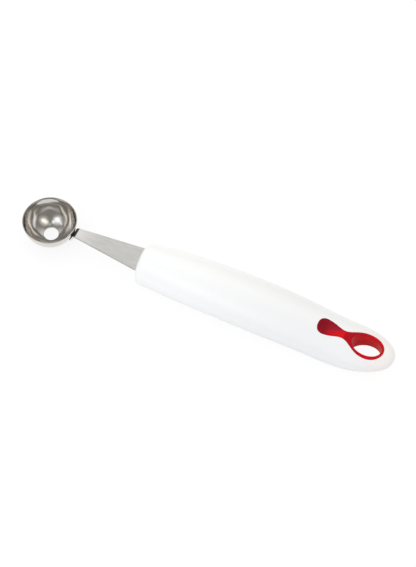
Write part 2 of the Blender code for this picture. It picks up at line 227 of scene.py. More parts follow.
class LoopSizes(bpy.types.PropertyGroup):
    """Sizes and finish of the red hanging loop."""

    width: length("Width", "Greatest width of the ring", 14.6)
    lobe_run: length("Lobe run", "Length of the round start", 4.6)
    lobe_power: number("Lobe power", "Fullness of the round start", 2.5, 8.0)
    ring_run: length("Ring run", "Length of the ring's round end", 9.0)
    hollow_depth: length("Hollow depth", "Depth of the hollow", 5.0)
    hollow_floor: length("Hollow floor", "Thickness of the red plastic below the hollow", 1.6)
    hollow_run: length("Hollow run", "Length of the hollow's steep start", 3.0)
    hollow_power: number("Hollow power", "Steepness of the hollow's sides", 4.0, 8.0)
    hole_length: length("Hole length", "Length of the hanging hole", 16.8)
    hole_width: length("Hole width", "Width of the hanging hole", 11.2)
    end_wall: length("End wall", "Width of the ring past the hole", 1.4)
    hole_round: length("Hole round", "Radius of the hole's edges", 0.3)
    seam_round: length("Seam round", "Radius of the loop's outer edge", 0.18)
    seam_gap: length("Seam gap", "Room between the loop and its bed", 0.03)
    plastic: colour("Plastic", "Colour of the red plastic", (0.42, 0.006, 0.012))
    # The shaded and lit colours are painted shade and painted light on the one red plastic: a shadow across
    # the hollow's far half, light on its ramp, in the hole and towards the tip.
    painted_shade: colour("Shaded plastic", "Colour of the plastic in the hollow's far half", (0.36, 0.016, 0.030))
    lit: colour("Lit plastic", "Colour of the plastic on the ramp and in the hole", (0.66, 0.008, 0.014))
    land_fall: number("Land fall", "Slope of the ring's top towards the tip", 0.14)
    roughness: number("Roughness", "Roughness of the red plastic", 0.32)


class StageSizes(bpy.types.PropertyGroup):
    """Camera, lamps and floor."""

    azimuth: turn("Azimuth", "Camera's turn round Z", 24.58)
    elevation: turn("Elevation", "Camera's height angle", 58.8)
    distance: length("Distance", "From the camera to its aim", 1101.0)
    lens: number("Lens", "Focal length in millimetres", 130.0, 1000.0)
    lamp_size: length("Lamp size", "Width of the soft lamp", 400.0)
    lamp_distance: length("Lamp distance", "From the tool to the soft lamp", 900.0)
    lamp_light: number("Lamp light", "Light on a surface that faces the lamp, where 1 is white", 0.07, 10.0)
    left_window: number("Left window", "Brightness in gloss of the window on the left", 1.0, 20.0)
    right_window: number("Right window", "Brightness in gloss of the window on the right", 0.7, 20.0)
    wall: number("Wall", "Brightness in gloss of the pale wall behind", 0.8, 10.0)
    sky: number("Sky", "Brightness in gloss of the sky light above the windows", 0.4, 10.0)
    front_light: number("Front light", "Brightness of the room on the camera's side", 0.88, 10.0)
    back_light: number("Back light", "Brightness of the room behind the tool", 1.12, 10.0)
    floor_size: length("Floor size", "Side of the floor", 6000.0)


class MelonBallerSettings(bpy.types.PropertyGroup):
    """All sizes and colours of the melon baller and its studio."""

    bowl: PointerProperty(type=BowlSizes, name="Bowl", description="Steel bowl")
    neck: PointerProperty(type=NeckSizes, name="Neck", description="Steel neck")
    handle: PointerProperty(type=HandleSizes, name="Handle", description="White handle")
    loop: PointerProperty(type=LoopSizes, name="Hanging loop", description="Red hanging loop")
    stage: PointerProperty(type=StageSizes, name="Stage", description="Camera, lamps and floor")


# Curves


def fair_curve(stations, values):
    """Returns a function for the natural cubic spline through the given stations."""
    xs = np.asarray(stations, dtype=float)
    ys = np.asarray(values, dtype=float)
    gaps = np.diff(xs)
    rises = np.diff(ys) / gaps
    count = len(xs)
    system = np.eye(count)
    bends = np.zeros(count)
    for i in range(1, count - 1):
        system[i, i - 1 : i + 2] = gaps[i - 1], 2 * (gaps[i - 1] + gaps[i]), gaps[i]
        bends[i] = 6 * (rises[i] - rises[i - 1])
    curvature = np.linalg.solve(system, bends)

    def at(x):
        x = np.asarray(x, dtype=float)
        i = np.clip(np.searchsorted(xs, x) - 1, 0, count - 2)
        before = (xs[i + 1] - x) / gaps[i]
        after = (x - xs[i]) / gaps[i]
        straight = before * ys[i] + after * ys[i + 1]
        bow = (before**3 - before) * curvature[i] + (after**3 - after) * curvature[i + 1]
        return straight + bow * gaps[i] ** 2 / 6

    return at


def rounding(distance, run, power=2.0):
    """Share of full size at a distance from an end: a superellipse quarter that is full after the run."""
    inward = np.clip(1 - np.asarray(distance, dtype=float) / run, 0, 1)
    return (1 - inward**power) ** (1 / power)


def smooth_step(x):
    """Rises from 0 to 1 with level ends."""
    x = np.clip(x, 0, 1)
    return x * x * (3 - 2 * x)


def crowded(loose, tight, count):
    """Places from a loose end to a tight end, close together there as a circle's points are in plan."""
    return loose + (tight - loose) * np.sin(np.linspace(0, math.pi / 2, count))


def arc(centre, radius, start, end, count):
    """Points of a circular arc in a plane."""
    angles = np.linspace(start, end, count)
    return np.column_stack([centre[0] + radius * np.cos(angles), centre[1] + radius * np.sin(angles)])


def quarter_round():
    """Offset and drop of a quarter round of radius 1, from its level edge to its upright edge."""
    angles = np.linspace(0, math.pi / 2, ROUND_COLUMNS)
    return 1 - np.sin(angles), 1 - np.cos(angles)


# Patches


def grid(x, y, z):
    """Grid of points from arrays that fill each other up to one shape."""
    return np.stack(np.broadcast_arrays(x, y, z), axis=-1)


def ruled(start, end, columns):
    """Grid of points that runs straight from each start point to its end point."""
    along = np.linspace(0, 1, columns)[:, None]
    return start[:, None, :] * (1 - along) + end[:, None, :] * along


def mirrored(patches):
    """The patches and their mirror images across Y = 0."""
    return patches + [patch * np.array([1.0, -1.0, 1.0]) for patch in patches]


def add_object(name, data):
    """Adds an object to the scene."""
    added = bpy.data.objects.new(name, data)
    bpy.context.scene.collection.objects.link(added)
    return added


def add_surface(name, patches, material):
    """Adds one welded mesh from grids of points: each cell is a face, and grids that meet share points."""
    points = []
    faces = []
    first = 0
    for patch in patches:
        rows, columns = patch.shape[:2]
        index = first + np.arange(rows * columns).reshape(rows, columns)
        corners = (index[:-1, :-1], index[:-1, 1:], index[1:, 1:], index[1:, :-1])
        faces.append(np.stack(corners, axis=-1).reshape(-1, 4))
        points.append(patch.reshape(-1, 3))
        first += rows * columns
    mesh = bpy.data.meshes.new(name)
    mesh.from_pydata(np.concatenate(points).tolist(), [], np.concatenate(faces).tolist())
    bm = bmesh.new()
    bm.from_mesh(mesh)
    bmesh.ops.remove_doubles(bm, verts=bm.verts, dist=WELD)
    bmesh.ops.dissolve_degenerate(bm, dist=WELD / 4, edges=bm.edges)
    bmesh.ops.recalc_face_normals(bm, faces=bm.faces)
    bm.to_mesh(mesh)
    bm.free()
    mesh.shade_smooth()
    mesh.set_sharp_from_angle(angle=SHARP_ANGLE)
    mesh.materials.append(material)
    return add_object(name, mesh)


def add_piece(name, patches, material, node):
    """Adds a piece that stands for a node of the frame and rides on the one body."""
    piece = add_surface(name, patches, material)
    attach(piece, "root")
    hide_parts(node)


# Bowl


def bowl_outline(sizes):
    """Closed half section of the bowl: two arcs, a rim bevelled inside, and the drain's rounded corner."""
    radius = sizes.radius
    inner = radius - sizes.wall
    rim_height = math.sqrt(radius**2 - sizes.drain_radius**2)
    rim_round = sizes.rim_round
    bevel = sizes.edge_bevel
    bevel_angle = -math.asin(bevel / inner)
    bevel_top = (inner * math.cos(bevel_angle) + bevel, rim_height)
    lip = sizes.drain_round
    lip_x = sizes.drain_radius + lip
    lip_angle = -math.acos(lip_x / (inner + lip))
    lip_centre = (lip_x, rim_height + (inner + lip) * math.sin(lip_angle))
    middle = (0.0, rim_height)
    outside = arc(middle, radius, -math.acos(sizes.drain_radius / radius), -rim_round / radius, BOWL_ARC_ROWS)
    return np.concatenate([
        outside,
        arc((radius - rim_round, rim_height - rim_round), rim_round, 0, math.pi / 2, ROUND_COLUMNS)[1:],
        [bevel_top],
        arc(middle, inner, bevel_angle, lip_angle, BOWL_ARC_ROWS),
        arc(lip_centre, lip, lip_angle + math.pi, math.pi, ROUND_COLUMNS),
        outside[:1],
    ])


def bowl_patches(sizes):
    """The half section turned once round the bowl's axis: angle by outline."""
    radii, heights = bowl_outline(sizes).T
    angles = np.linspace(0, 2 * math.pi, BOWL_TURN_ROWS)[:, None]
    return [grid(BOWL_X + radii * np.cos(angles), radii * np.sin(angles), heights)]


# Neck


def direction(angle):
    """Unit vector in the XZ plane at an angle above level, and its left-hand normal."""
    along = np.stack([np.cos(angle), np.sin(angle)], axis=-1)
    return along, np.stack([-along[..., 1], along[..., 0]], axis=-1)


def neck_marks(sizes, bend_x):
    """Distances past the bend of the handle's mouth, the shoulder and the tang's end."""
    mouth = (HANDLE_LOW.x - BOWL_X - bend_x) / math.cos(sizes.fall)
    return mouth, mouth + sizes.shoulder_depth, mouth + sizes.tang_length


def neck_path(sizes, bowl):
    """Middle line of the strip: it hugs the bowl, runs up to an arc, and then straight to the tang's end.

    Returns places and upper normals in the XZ plane, distances from the tab's end, and those past the bend.
    """
    rim_height = math.sqrt(bowl.radius**2 - bowl.drain_radius**2)
    centre = np.array([BOWL_X, rim_height])
    half = sizes.thickness / 2
    bend_x = bowl.radius + sizes.standoff
    to_bend = math.hypot(bend_x, sizes.drop)
    slope = math.asin((bowl.radius + sizes.tab_gap) / to_bend) - math.atan2(sizes.drop, bend_x)
    tab_along, tab_normal = direction(slope)
    neck_along, neck_normal = direction(-sizes.fall)
    bend = slope + sizes.fall
    hug = bowl.radius + sizes.tab_gap + half
    bend_middle = sizes.bend_radius + half
    trim = bend_middle * math.tan(bend / 2)
    corner = centre + (bend_x, -sizes.drop) - half * (tab_normal + neck_normal) / (1 + math.cos(bend))
    bend_start = corner - trim * tab_along
    bend_end = corner + trim * neck_along

    _, shoulder, tang_end = neck_marks(sizes, bend_x)
    slim = shoulder + sizes.shoulder_run
    round_start = tang_end - sizes.tang_end_round
    straight = np.concatenate([
        np.linspace(trim, shoulder, STRIP_ROWS)[1:],
        np.linspace(shoulder, slim, SHOULDER_ROWS)[1:],
        np.linspace(slim, round_start, TANG_ROWS)[1:],
        crowded(round_start, tang_end, TANG_END_ROWS)[1:],
    ])
    hug_normals = direction(slope - crowded(0, sizes.tab_wrap / hug, HUG_ROWS)[::-1])[1]
    bend_normals = direction(slope - np.linspace(0, bend, BEND_ROWS))[1]
    places = np.concatenate([
        centre - hug * hug_normals,
        bend_start + bend_middle * (bend_normals - tab_normal),
        bend_end + (straight - trim)[:, None] * neck_along,
    ])
    normals = np.concatenate([hug_normals, bend_normals, np.tile(neck_normal, (len(straight), 1))])
    steps = np.linalg.norm(np.diff(places, axis=0), axis=1)
    along = np.concatenate([[0], np.cumsum(steps)])
    past_bend = along - along[len(hug_normals) + len(bend_normals) - 1] + trim
    return places, normals, along, past_bend


def neck_half_width(sizes, bend_x, along, past_bend):
    """Half the strip's width: widening to the shoulder, slimmer inside the handle, with round ends."""
    mouth, shoulder, tang_end = neck_marks(sizes, bend_x)
    widening = (sizes.mouth_width - sizes.tab_width) / 2 / mouth
    neck = sizes.tab_width / 2 + widening * np.clip(past_bend, 0, shoulder)
    slim = smooth_step((past_bend - shoulder) / sizes.shoulder_run)
    width = neck * (1 - slim) + sizes.tang_width / 2 * slim
    ends = rounding(along, sizes.tab_end_round) * rounding(tang_end - past_bend, sizes.tang_end_round)
    least = 1.5 * sizes.edge_round
    return np.maximum(width * ends, least)


def neck_patches(sizes, bowl):
    """A rounded rectangle carried along the middle line: place by outline, with a flat fan at each end.

    The outline's lower half is its upper half turned by half a turn.
    """
    places, normals, along, past_bend = neck_path(sizes, bowl)
    wide = neck_half_width(sizes, bowl.radius + sizes.standoff, along, past_bend)[:, None]
    half = sizes.thickness / 2
    edge = sizes.edge_round
    inset, drop = quarter_round()
    flat = np.linspace(-FLAT_SHARE, FLAT_SHARE, FLAT_COLUMNS)
    corner_y = wide - edge * inset
    corner_h = half - edge * drop
    y = np.hstack([(wide - edge) * flat, corner_y, np.fliplr(corner_y)])
    h = np.concatenate([np.full(len(flat), half), corner_h, -corner_h[::-1]])
    y = np.hstack([y, -y, y[:, :1]])
    h = np.concatenate([h, -h, h[:1]])
    strip = grid(places[:, :1] + h * normals[:, :1], y, places[:, 1:] + h * normals[:, 1:])
    ends = [np.broadcast_to(strip[row].mean(axis=0), (1, *strip[row].shape)) for row in (0, -1)]
    return [np.concatenate([ends[0], strip, ends[1]])]


# Handle


class HandleSkin:
    """The handle's skin: sections of two superellipse halves on fair curves along X."""

    def __init__(self, sizes):
        self.sizes = sizes
        self.front = HANDLE_LOW.x
        self.tip = HANDLE_HIGH.x
        self.width = fair_curve(HANDLE_STATIONS, np.array(WIDTH_SHARES) * sizes.width / 2)
        self.crown = fair_curve(HANDLE_STATIONS, np.array(CROWN_SHARES) * sizes.crown)
        self.belly = fair_curve(HANDLE_STATIONS, np.array(BELLY_SHARES) * sizes.arch)

    def curves(self, x):
        """Half width, widest line's height, crown height and belly height at places along the handle."""
        sizes = self.sizes
        from_front = x - self.front
        from_tip = self.tip - x
        share = from_front / (self.tip - self.front)
        crown = self.crown(share)
        belly = self.belly(share)
        plan = rounding(from_front, sizes.front_run, sizes.front_power)
        plan = plan * rounding(from_tip, sizes.tip_run, sizes.tip_power)
        side = rounding(from_front, sizes.edge_run, sizes.edge_power)
        side = side * rounding(from_tip, sizes.edge_run, sizes.edge_power)
        middle = belly + (crown - belly) * sizes.widest_share
        upper = middle + (crown - middle) * side
        lower = middle - (middle - belly) * side
        return self.width(share) * plan, middle, upper, lower

    def across(self, x, y, power):
        """Height share of a section's half over a place: a superellipse quarter."""
        width = self.curves(x)[0]
        share = np.clip(np.abs(y) / np.maximum(width, WELD), 0, 1)
        return (1 - share**power) ** (1 / power)

    def upper(self, x, y):
        """Height of the upper skin over a place."""
        _, middle, crown, _ = self.curves(x)
        return middle + (crown - middle) * self.across(x, y, self.sizes.crown_power)

    def lower(self, x, y):
        """Height of the underside over a place, flat where it rests."""
        _, middle, _, belly = self.curves(x)
        return np.maximum(middle - (middle - belly) * self.across(x, y, self.sizes.belly_power), 0)

    def edge_angle(self, x, y, power):
        """Section angle of a place on the skin: 0 on the widest line and a quarter turn at Y = 0."""
        share = np.clip(y / np.maximum(self.curves(x)[0], WELD), 0, 1)
        return np.arccos(share ** (power / 2))

    def patch(self, x, angle, upper):
        """Half the skin on grids of places and section angles: Y and Z are powers of cosine and sine."""
        width, middle, crown, belly = self.curves(x)
        power = self.sizes.crown_power if upper else self.sizes.belly_power
        y = width * np.maximum(np.cos(angle), 0) ** (2 / power)
        rise = np.sin(angle) ** (2 / power)
        z = middle + (crown - middle) * rise if upper else np.maximum(middle - (middle - belly) * rise, 0)
        return grid(x, y, z)

    def closed_patch(self, x, upper):
        """Half the skin over a stretch of the handle, from Y = 0 to the widest line."""
        return self.patch(x[:, None], np.linspace(math.pi / 2, 0, SKIN_COLUMNS), upper)

    def open_patch(self, edge_x, edge_y, line_x, upper):
        """Half the skin from an opening's edge to places on the widest line."""
        power = self.sizes.crown_power if upper else self.sizes.belly_power
        start = self.edge_angle(edge_x, edge_y, power)[:, None]
        along = np.linspace(0, 1, SKIN_COLUMNS)
        x = edge_x[:, None] * (1 - along) + line_x[:, None] * along
        return self.patch(x, start * (1 - along), upper)


class LoopOutline:
    """The loop's outline for Y >= 0, a lobe, a waist and a ring, with its outward normals."""

    def __init__(self, sizes):
        self.sizes = sizes
        self.start = LOOP_LOW.x
        self.end = LOOP_HIGH.x
        self.span = self.end - self.start
        self.waist = self.start + WAIST_SHARE * self.span
        self.width = fair_curve(LOOP_STATIONS, np.array(LOOP_WIDTH_SHARES) * sizes.width / 2)
        self.inlay_depth = sizes.hollow_depth + sizes.hollow_floor
        self.hole_centre = self.end - sizes.end_wall - sizes.hole_length / 2
        half = (self.start + self.end) / 2
        front_rows = crowded(half, self.start, LOBE_ROWS)[::-1]
        self.x = np.concatenate([front_rows, crowded(half, self.end, RING_ROWS)[1:]])
        self.waist_row = int(np.argmin(np.abs(self.x - self.waist)))
        self.x[self.waist_row] = self.waist
        self.y = self.half_width(self.x)
        tangent = np.column_stack([np.gradient(self.x), np.gradient(self.y)])
        tangent[0] = (0, 1)
        tangent[-1] = (0, -1)
        tangent /= np.linalg.norm(tangent, axis=1)[:, None]
        self.normal = np.column_stack([-tangent[:, 1], tangent[:, 0]])

        # The ring's part has a corner at the waist, and a corner moves along its mitre.
        self.normal[self.waist_row] = (-1, 1)

    def half_width(self, x):
        """Half the loop's width at a place along the handle."""
        sizes = self.sizes
        lobe = rounding(x - self.start, sizes.lobe_run, sizes.lobe_power)
        ring = rounding(self.end - x, sizes.ring_run)
        return self.width((x - self.start) / self.span) * lobe * ring

    def grown(self, by):
        """Grids of X and Y of the outline moved outwards by distances, which lie along the second side."""
        x = self.x[:, None] + self.normal[:, :1] * by
        y = np.maximum(self.y[:, None] + self.normal[:, 1:] * by, 0)
        y[[0, -1]] = 0
        return x, y

    def lower_round(self, radius):
        """Radius of the lower edge along the outline: none at the waist, full after eight times itself."""
        return radius * rounding(self.x - self.waist, 8 * radius)[:, None]

    def hollow(self, x, y):
        """Depth of the hollow: steep sides, deepest near its round end, and a ramp up to the waist."""
        sizes = self.sizes
        from_start = x - self.start
        to_waist = self.waist - x
        run = self.waist - self.start - sizes.hollow_run
        across = 1 - (np.abs(y) / np.maximum(self.half_width(x), WELD)) ** sizes.hollow_power
        fade = np.clip(to_waist / run, 0, 1)
        return sizes.hollow_depth * rounding(from_start, sizes.hollow_run) * fade * np.clip(across, 0, 1)

    def to_axis(self, edge_x, edge_y, shares):
        """Grids of X and Y that run from even places on the axis, up to the waist, to an edge's points."""
        axis = np.linspace(edge_x[0], edge_x[-1], len(edge_x))[:, None]
        return axis * (1 - shares) + edge_x[:, None] * shares, edge_y[:, None] * shares


def side_walls(skin, outline, radius, gap, outward, top):
    """Upper edge, lower edge, and the patches of the walls between them, all along the outline.

    The upper wall goes down to the inlay's depth, and past the waist the lower one goes right through.
    Outward is 1 for the handle's edges, which round away from the loop, and -1 for the loop's own.
    """
    inset, drop = quarter_round()
    past_waist = slice(outline.waist_row, None)
    x, y = outline.grown(gap + outward * radius * inset)
    upper = grid(x, y, top(x, y) - radius * drop)
    foot_x, foot_y = upper[:, -1, :2].T
    foot = grid(foot_x, foot_y, skin.upper(foot_x, 0.0) - outline.inlay_depth - gap)
    low_radius = outline.lower_round(radius)
    x, y = outline.grown(gap + outward * low_radius * inset)
    lower = grid(x, y, skin.lower(x, y) + low_radius * drop)[past_waist]
    return upper, lower, [
        upper,
        ruled(upper[:, -1], foot, WALL_COLUMNS),
        ruled(foot[past_waist], lower[:, -1], WALL_COLUMNS),
        lower,
    ]


def handle_patches(skin, outline, loop):
    """Patches of the handle: the skin, open round the loop, and the bed that the loop lies in."""
    sizes = skin.sizes
    gap = loop.seam_gap
    waist = outline.waist_row
    upper_edge, lower_edge, walls = side_walls(skin, outline, sizes.seam_round, gap, 1, skin.upper)
    edge_x, edge_y = upper_edge[:, 0, :2].T
    wall_x, wall_y = upper_edge[:, -1, :2].T
    low_x, low_y = lower_edge[:, 0, :2].T

    # The widest line's places, one for each row of the outline.
    rows = np.arange(len(outline.x))
    line_x = np.interp(rows, (0, waist, rows[-1]), (edge_x[0], wall_x[waist], edge_x[-1]))
    front_end = skin.front + sizes.front_run
    front = np.concatenate([
        front_end - crowded(0, sizes.front_run, FRONT_ROWS)[::-1],
        np.linspace(front_end, line_x[0], BODY_ROWS)[1:],
    ])
    back = crowded(line_x[-1], skin.tip, TIP_ROWS)

    # Underside in front of the waist: its middle columns end where the opening's corner is.
    split = skin.edge_angle(wall_x[waist], wall_y[waist], sizes.belly_power)
    middle_angles = np.linspace(math.pi / 2, split, MIDDLE_COLUMNS)
    angles = np.concatenate([middle_angles, np.linspace(split, 0, SKIN_COLUMNS)[1:]])
    before_waist = np.concatenate([front, line_x[1 : waist + 1]])
    underside = skin.patch(before_waist[:, None], angles, upper=False)
    corner_row = underside[-1, :MIDDLE_COLUMNS]
    shares = corner_row[:, 1] / wall_y[waist]
    floor_x, floor_y = outline.to_axis(wall_x[: waist + 1], wall_y[: waist + 1], shares)
    floor = grid(floor_x, floor_y, skin.upper(floor_x, 0.0) - outline.inlay_depth - gap)
    return mirrored(walls + [
        skin.closed_patch(front, upper=True),
        skin.open_patch(edge_x, edge_y, line_x, upper=True),
        skin.closed_patch(back, upper=True),
        underside,
        skin.open_patch(low_x, low_y, line_x[waist:], upper=False),
        skin.closed_patch(back, upper=False),
        floor,
        ruled(floor[-1], corner_row, WALL_COLUMNS),
    ])


# Hanging loop


def hole_outline(outline, angles, by):
    """X and Y of the oval hole at angles round its centre, moved outwards by distances on a second side."""
    sizes = outline.sizes
    half_length = sizes.hole_length / 2
    half_width = sizes.hole_width / 2
    normal = np.column_stack([np.cos(angles) / half_length, np.sin(angles) / half_width])
    normal /= np.linalg.norm(normal, axis=1)[:, None]
    x = outline.hole_centre + (half_length * np.cos(angles))[:, None] + normal[:, :1] * by
    y = (half_width * np.sin(angles))[:, None] + normal[:, 1:] * by
    return x, y


def loop_patches(skin, outline):
    """Patches of the loop: the lobe with its hollow, and the ring round the hole."""
    sizes = outline.sizes
    waist = outline.waist_row
    inset, drop = quarter_round()
    shares = np.linspace(0, 1, LOBE_COLUMNS)

    def top(x, y):
        return skin.upper(x, y) - outline.hollow(x, y)

    upper_edge, lower_edge, walls = side_walls(skin, outline, sizes.seam_round, 0.0, -1, top)

    # The lobe's top and floor, and the wall across the waist below the floor.
    edge_x, edge_y = upper_edge[: waist + 1, 0, :2].T
    lobe_x, lobe_y = outline.to_axis(edge_x, edge_y, shares)
    lobe = grid(lobe_x, lobe_y, top(lobe_x, lobe_y))
    floor_x, floor_y = outline.to_axis(outline.x[: waist + 1], outline.y[: waist + 1], shares)
    floor = grid(floor_x, floor_y, skin.upper(floor_x, 0.0) - outline.inlay_depth)
    across_waist = grid(floor_x[-1], floor_y[-1], skin.lower(floor_x[-1], floor_y[-1]))

    # The ring's lands run from the outer edge to the hole's edge, at the angle that faces each place.
    rim = np.concatenate([lobe[-1], upper_edge[waist + 1 :, 0]])
    low_rim = np.concatenate([across_waist, lower_edge[1:, 0]])
    angles = np.arctan2(rim[:, 1] / sizes.hole_width, (rim[:, 0] - outline.hole_centre) / sizes.hole_length)
    hole_x, hole_y = hole_outline(outline, angles, sizes.hole_round * inset)
    upper_hole = grid(hole_x, hole_y, top(hole_x, hole_y) - sizes.hole_round * drop)
    lower_hole = grid(hole_x, hole_y, skin.lower(hole_x, hole_y) + sizes.hole_round * drop)
    land = ruled(rim, upper_hole[:, 0], LAND_COLUMNS)
    land[..., 2] = top(land[..., 0], land[..., 1])
    low_land = ruled(low_rim, lower_hole[:, 0], LAND_COLUMNS)
    low_land[..., 2] = skin.lower(low_land[..., 0], low_land[..., 1])
    return mirrored(walls + [
        lobe,
        floor,
        ruled(floor[-1], across_waist, WALL_COLUMNS),
        land,
        upper_hole,
        ruled(upper_hole[:, -1], lower_hole[:, -1], WALL_COLUMNS),
        lower_hole,
        low_land,
    ])


# Shader nodes


class Nodes:
    """The nodes of a material or a world, with short calls that add them.

    Each value that a call takes is a node's output or a plain one.
    """

    def __init__(self, owner):
        owner.use_nodes = True
        self.tree = owner.node_tree

    def give(self, socket, value):
        """Links a node's output to a socket, or sets the socket to a plain number, vector or colour."""
        if isinstance(value, bpy.types.NodeSocket):
            self.tree.links.new(value, socket)
        elif socket.type == "RGBA":
            socket.default_value = (*value, 1.0)
        else:
            socket.default_value = value

    def add(self, kind, sockets=None, **settings):
        """Adds a node, sets its properties, and gives its named or numbered sockets their values."""
        node = self.tree.nodes.new("ShaderNode" + kind)
        for name, value in settings.items():
            setattr(node, name, value)
        for key, value in (sockets or {}).items():
            self.give(node.inputs[key], value)
        return node

    def calc(self, operation, *values):
        """Result of a math node."""
        return self.add("Math", dict(enumerate(values)), operation=operation).outputs["Value"]

    def vector(self, operation, *values):
        """Vector that a vector math node gives."""
        return self.add("VectorMath", dict(enumerate(values)), operation=operation).outputs["Vector"]

    def measure(self, operation, *values):
        """Number that a vector math node gives."""
        return self.add("VectorMath", dict(enumerate(values)), operation=operation).outputs["Value"]

    def parts(self, vector):
        """X, Y and Z of a vector."""
        return self.add("SeparateXYZ", {"Vector": vector}).outputs

    def remap(self, value, start, end, low=0.0, high=1.0, **settings):
        """Maps the range from start to end to the range from low to high, and stays within that."""
        sockets = {"Value": value, "From Min": start, "From Max": end, "To Min": low, "To Max": high}
        return self.add("MapRange", sockets, **settings).outputs["Result"]

    def ease(self, value, start, end):
        """0 up to the start and 1 from the end on, with a soft change between; the end may be the lower."""
        return self.remap(value, start, end, interpolation_type="SMOOTHSTEP")

    def mix(self, amount, first, second):
        """A colour between two colours, by a varying amount."""
        sockets = {"Factor": amount, "A": first, "B": second}
        return self.add("Mix", sockets, data_type="RGBA").outputs["Result"]

    def noise(self, place, scale, detail=2.0):
        """Noise of about one blotch per 1/scale metres."""
        return self.add("TexNoise", {"Vector": place, "Scale": scale, "Detail": detail}).outputs["Fac"]


class Finish(Nodes):
    """A material of one Principled shader, with patterns that lie on the object's coordinates."""

    def __init__(self, name, metallic, roughness):
        self.material = bpy.data.materials.new(name)
        super().__init__(self.material)
        self.shader = self.tree.nodes["Principled BSDF"]
        self.roughness = roughness
        self.set("Metallic", metallic)
        self.set("Roughness", roughness)
        self.place = self.add("TexCoord").outputs["Object"]

    def set(self, name, value):
        """Gives one of the shader's sockets its value."""
        self.give(self.shader.inputs[name], value)

    def vary_gloss(self, pattern, low, high):
        """Lets the roughness follow the middle of a noise's range, between two shares of the plain one."""
        varied = self.remap(pattern, *NOISE_MIDDLE, self.roughness * low, self.roughness * high)
        self.set("Roughness", varied)

    def bump(self, height, strength, depth, over=None):
        """Bends the shader's normals by a height pattern, on top of another bump if one is given."""
        sockets = {"Height": height, "Strength": strength, "Distance": depth}
        if over:
            sockets["Normal"] = over
        normal = self.add("Bump", sockets).outputs["Normal"]
        self.set("Normal", normal)
        return normal

    def fine_skin(self):
        """Gives a moulded surface its very fine grain."""
        self.bump(self.noise(self.place, 1500.0), 0.05, FINE_DEPTH)


# Finishes


def polished_steel(sizes, weld_tint_and_shade):
    """Polished pressed steel: fine lines round the bowl's axis, soft ripples below the rim, faint clouds.

    Its outside has a dark tint round the weld, which lies behind the neck's tab: heat tint, and painted shade
    of the gap between the tab and the bowl.
    """
    finish = Finish("polished_steel", 1.0, sizes.roughness)
    place = finish.place
    level_place = finish.vector("MULTIPLY", place, (1.0, 1.0, 0.0))
    from_axis = finish.measure("DISTANCE", level_place, (BOWL_X, 0.0, 0.0))
    lines = finish.add("TexNoise", {"W": from_axis, "Scale": 6000.0, "Detail": 3.0}, noise_dimensions="1D")
    clouds = finish.noise(place, 160.0, 3.0)
    cloud_steel = 0.92 * Vector(sizes.steel)
    plain = finish.mix(clouds, cloud_steel, sizes.steel)

    # The weld's place, and the tint's full and faint radius.
    weld_inset = 0.8 * MM
    weld_drop = 4.6 * MM
    full_tint = 2.8 * MM
    faint_tint = 4.4 * MM
    weld = (BOWL_X + sizes.radius - weld_inset, 0.0, BOWL_HIGH.z - weld_drop)
    past_tint = finish.ease(finish.measure("DISTANCE", place, weld), full_tint, faint_tint)
    from_middle = finish.measure("DISTANCE", place, (BOWL_X, 0.0, BOWL_HIGH.z))
    inside = finish.ease(from_middle, sizes.radius - 0.3 * MM, sizes.radius - 0.5 * MM)
    bare = finish.calc("MAXIMUM", past_tint, inside)
    # The dark tint round the weld is heat tint and painted shade of the gap between the tab and the bowl.
    finish.set("Base Color", finish.mix(bare, weld_tint_and_shade, plain))
    finish.set("Metallic", bare)
    finish.vary_gloss(clouds, 0.8, 1.3)

    # The ripples fade out towards the rim.
    height = finish.parts(place)["Z"]
    below_rim = finish.ease(height, BOWL_HIGH.z - 0.7 * MM, BOWL_HIGH.z - 2 * MM)
    ripples = finish.bump(finish.noise(place, 200.0, 0.0), below_rim, 0.22 * MM)
    finish.bump(lines.outputs["Fac"], 0.12, FINE_DEPTH, over=ripples)
    return finish.material


def satin_steel(sizes, bend_x):
    """Satin rolled steel: fine grain along the strip, faint clouds, and a painted highlight next to the bend.

    Its faces have a dark tint up to a little past the bend, heat tint and painted shade of the gap between
    the tab and the bowl, and its sheared edges are greyer.
    """
    finish = Finish("satin_steel", 1.0, sizes.roughness)
    place = finish.place
    grain = finish.noise(finish.vector("MULTIPLY", place, GRAIN_SCALES), 1.0, 4.0)
    clouds = finish.noise(place, 120.0, 3.0)
    along = finish.parts(place)["X"]

    # How plain the steel is: painted highlight next to the bend, and streaked by the grain and the clouds.
    highlight_run = 15 * MM
    from_bend = finish.ease(along, bend_x, bend_x + highlight_run)
    dull = finish.calc("MULTIPLY_ADD", from_bend, 0.75, -0.6)
    clouded = finish.calc("MULTIPLY_ADD", clouds, 0.3, dull)
    streaked = finish.calc("MULTIPLY_ADD", grain, 0.9, clouded)
    plain = finish.mix(streaked, sizes.highlight_steel, sizes.steel)

    # Faces: the dark tint, heat tint and painted shade of the gap under the tab, ends on a line across the
    # strip.
    tint_end = bend_x + sizes.tint_and_shade_reach
    half_line = 0.15 * MM
    past_tint = finish.ease(along, tint_end - half_line, tint_end + half_line)
    face = finish.mix(past_tint, sizes.weld_tint_and_shade, plain)

    # Edges, which face sideways: painted highlight on the tab, and grey along the neck.
    normal = finish.add("TexCoord").outputs["Normal"]
    on_edge = finish.ease(finish.calc("ABSOLUTE", finish.parts(normal)["Y"]), 0.5, 0.8)
    past_tab = finish.ease(along, bend_x - 0.5 * MM, bend_x + 0.8 * MM)
    edge = finish.mix(past_tab, sizes.highlight_steel, sizes.edge_steel)
    finish.set("Base Color", finish.mix(on_edge, face, edge))
    finish.set("Metallic", finish.calc("MAXIMUM", past_tint, on_edge))
    finish.vary_gloss(grain, 0.85, 1.15)
    finish.bump(grain, 0.15, FINE_DEPTH)
    return finish.material


